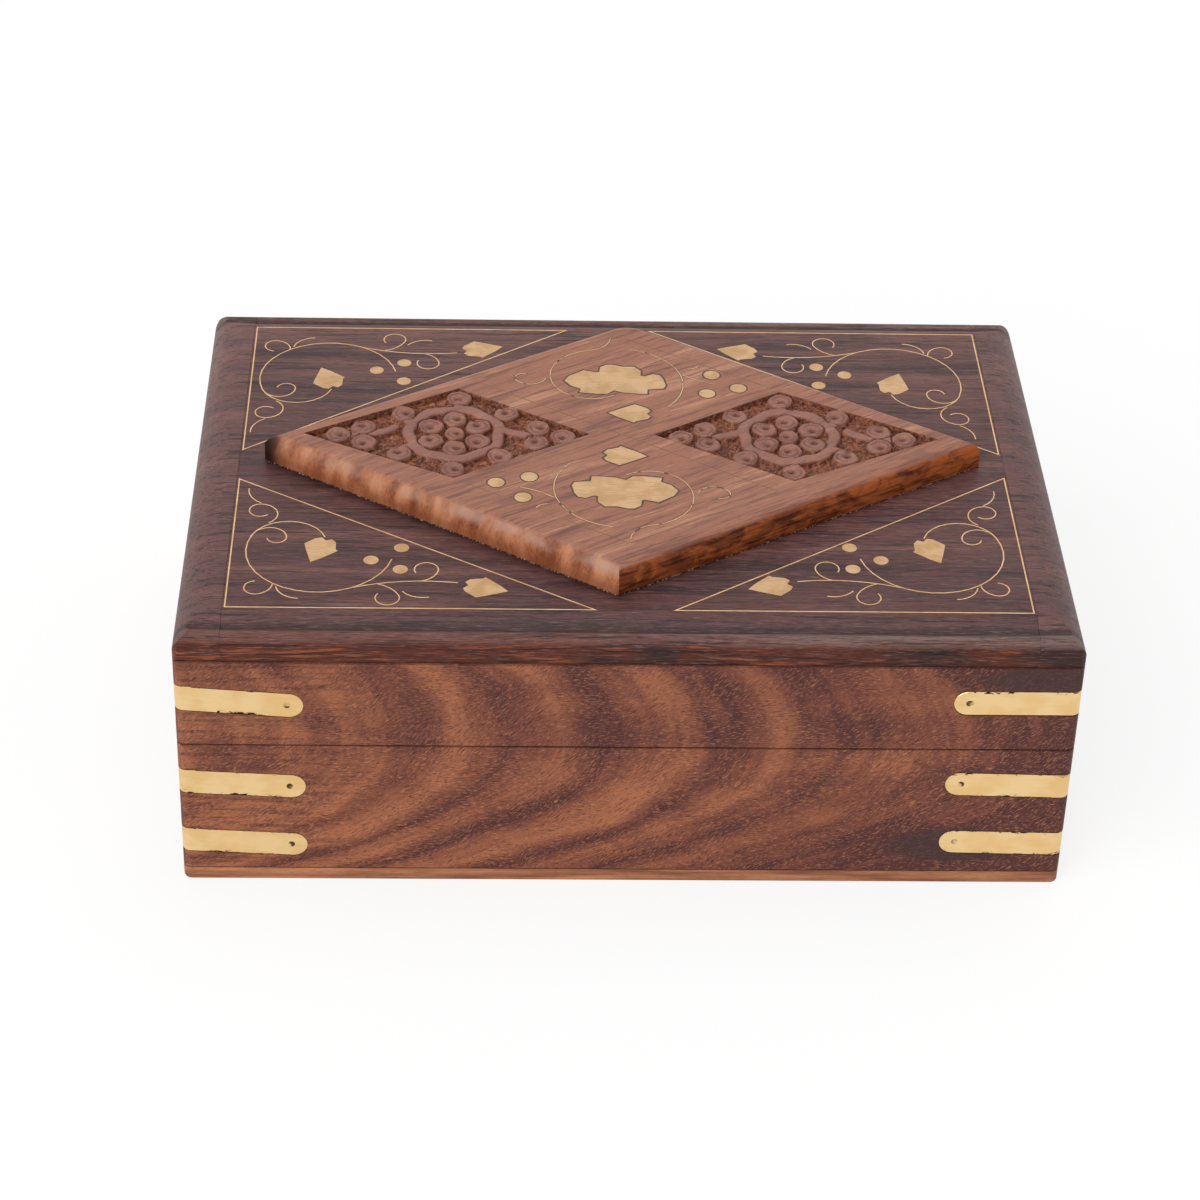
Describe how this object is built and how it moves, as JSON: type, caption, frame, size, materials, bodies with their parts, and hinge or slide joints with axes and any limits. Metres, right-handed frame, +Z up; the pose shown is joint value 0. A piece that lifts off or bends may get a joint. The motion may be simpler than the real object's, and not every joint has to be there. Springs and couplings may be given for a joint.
{
  "type": "keepsake box",
  "caption": "Rectangular hinged hardwood box with a flat lid, brass corner straps, brass scroll inlay and a raised carved lozenge; holds papers and keepsakes.",
  "frame": {"origin": "centre of the underside, on the surface that the box stands on", "axes": "+X to the right along the width, +Y to the hinged back, +Z up through the lid"},
  "size_m": [0.254, 0.176, 0.0965],
  "materials": {
    "wall_wood": "waxed, satin, reddish brown",
    "lid_wood": "waxed, satin, dark purple brown",
    "lozenge_wood": "waxed, satin, warm tan",
    "bottom_wood": "waxed, satin, orange brown",
    "inlay_brass": "rubbed satin",
    "strap_brass": "rubbed satin, scratched",
    "hinge_brass": "satin",
    "velvet": "short pile"
  },
  "bodies": {
    "base": {"base_bottom_board": "bottom_wood", "base_front_wall": "wall_wood", "base_back_wall": "wall_wood", "base_left_wall": "wall_wood", "base_right_wall": "wall_wood", "base_floor_lining": "velvet", "base_wall_linings": "velvet", "strap_base_low_front_left": "strap_brass", "strap_base_low_front_right": "strap_brass", "strap_base_low_back_left": "strap_brass", "strap_base_low_back_right": "strap_brass", "strap_base_high_front_left": "strap_brass", "strap_base_high_front_right": "strap_brass", "strap_base_high_back_left": "strap_brass", "strap_base_high_back_right": "strap_brass", "strap_nails_base": "strap_brass", "hinge_left_base_leaf": "hinge_brass", "hinge_right_base_leaf": "hinge_brass", "hinge_left_pin": "hinge_brass", "hinge_right_pin": "hinge_brass", "hinge_screws_base": "hinge_brass"},
    "lid": {"lid_front_rail": "wall_wood", "lid_back_rail": "wall_wood", "lid_left_rail": "wall_wood", "lid_right_rail": "wall_wood", "lid_top_panel": "lid_wood", "lid_end_strip_left": "lid_wood", "lid_end_strip_right": "lid_wood", "lid_top_lining": "velvet", "lid_wall_linings": "velvet", "strap_lid_front_left": "strap_brass", "strap_lid_front_right": "strap_brass", "strap_lid_back_left": "strap_brass", "strap_lid_back_right": "strap_brass", "strap_nails_lid": "strap_brass", "hinge_left_lid_leaf": "hinge_brass", "hinge_right_lid_leaf": "hinge_brass", "hinge_screws_lid": "hinge_brass", "lid_frame_wires": "inlay_brass", "lid_scroll_wires": "inlay_brass", "lid_leaf_inlays": "inlay_brass", "lid_dot_inlays": "inlay_brass", "lozenge_plate": "lozenge_wood", "lozenge_line_wires": "inlay_brass", "lozenge_scroll_wires": "inlay_brass", "lozenge_leaf_inlays": "inlay_brass", "lozenge_dot_inlays": "inlay_brass"}
  },
  "joints": [
    {"name": "lid_hinge", "type": "hinge", "parent": "base", "child": "lid", "pos_m": [0, 0.0854, 0.04875], "axis": [-1, 0, 0], "range_deg": [0, 100]}
  ]
}
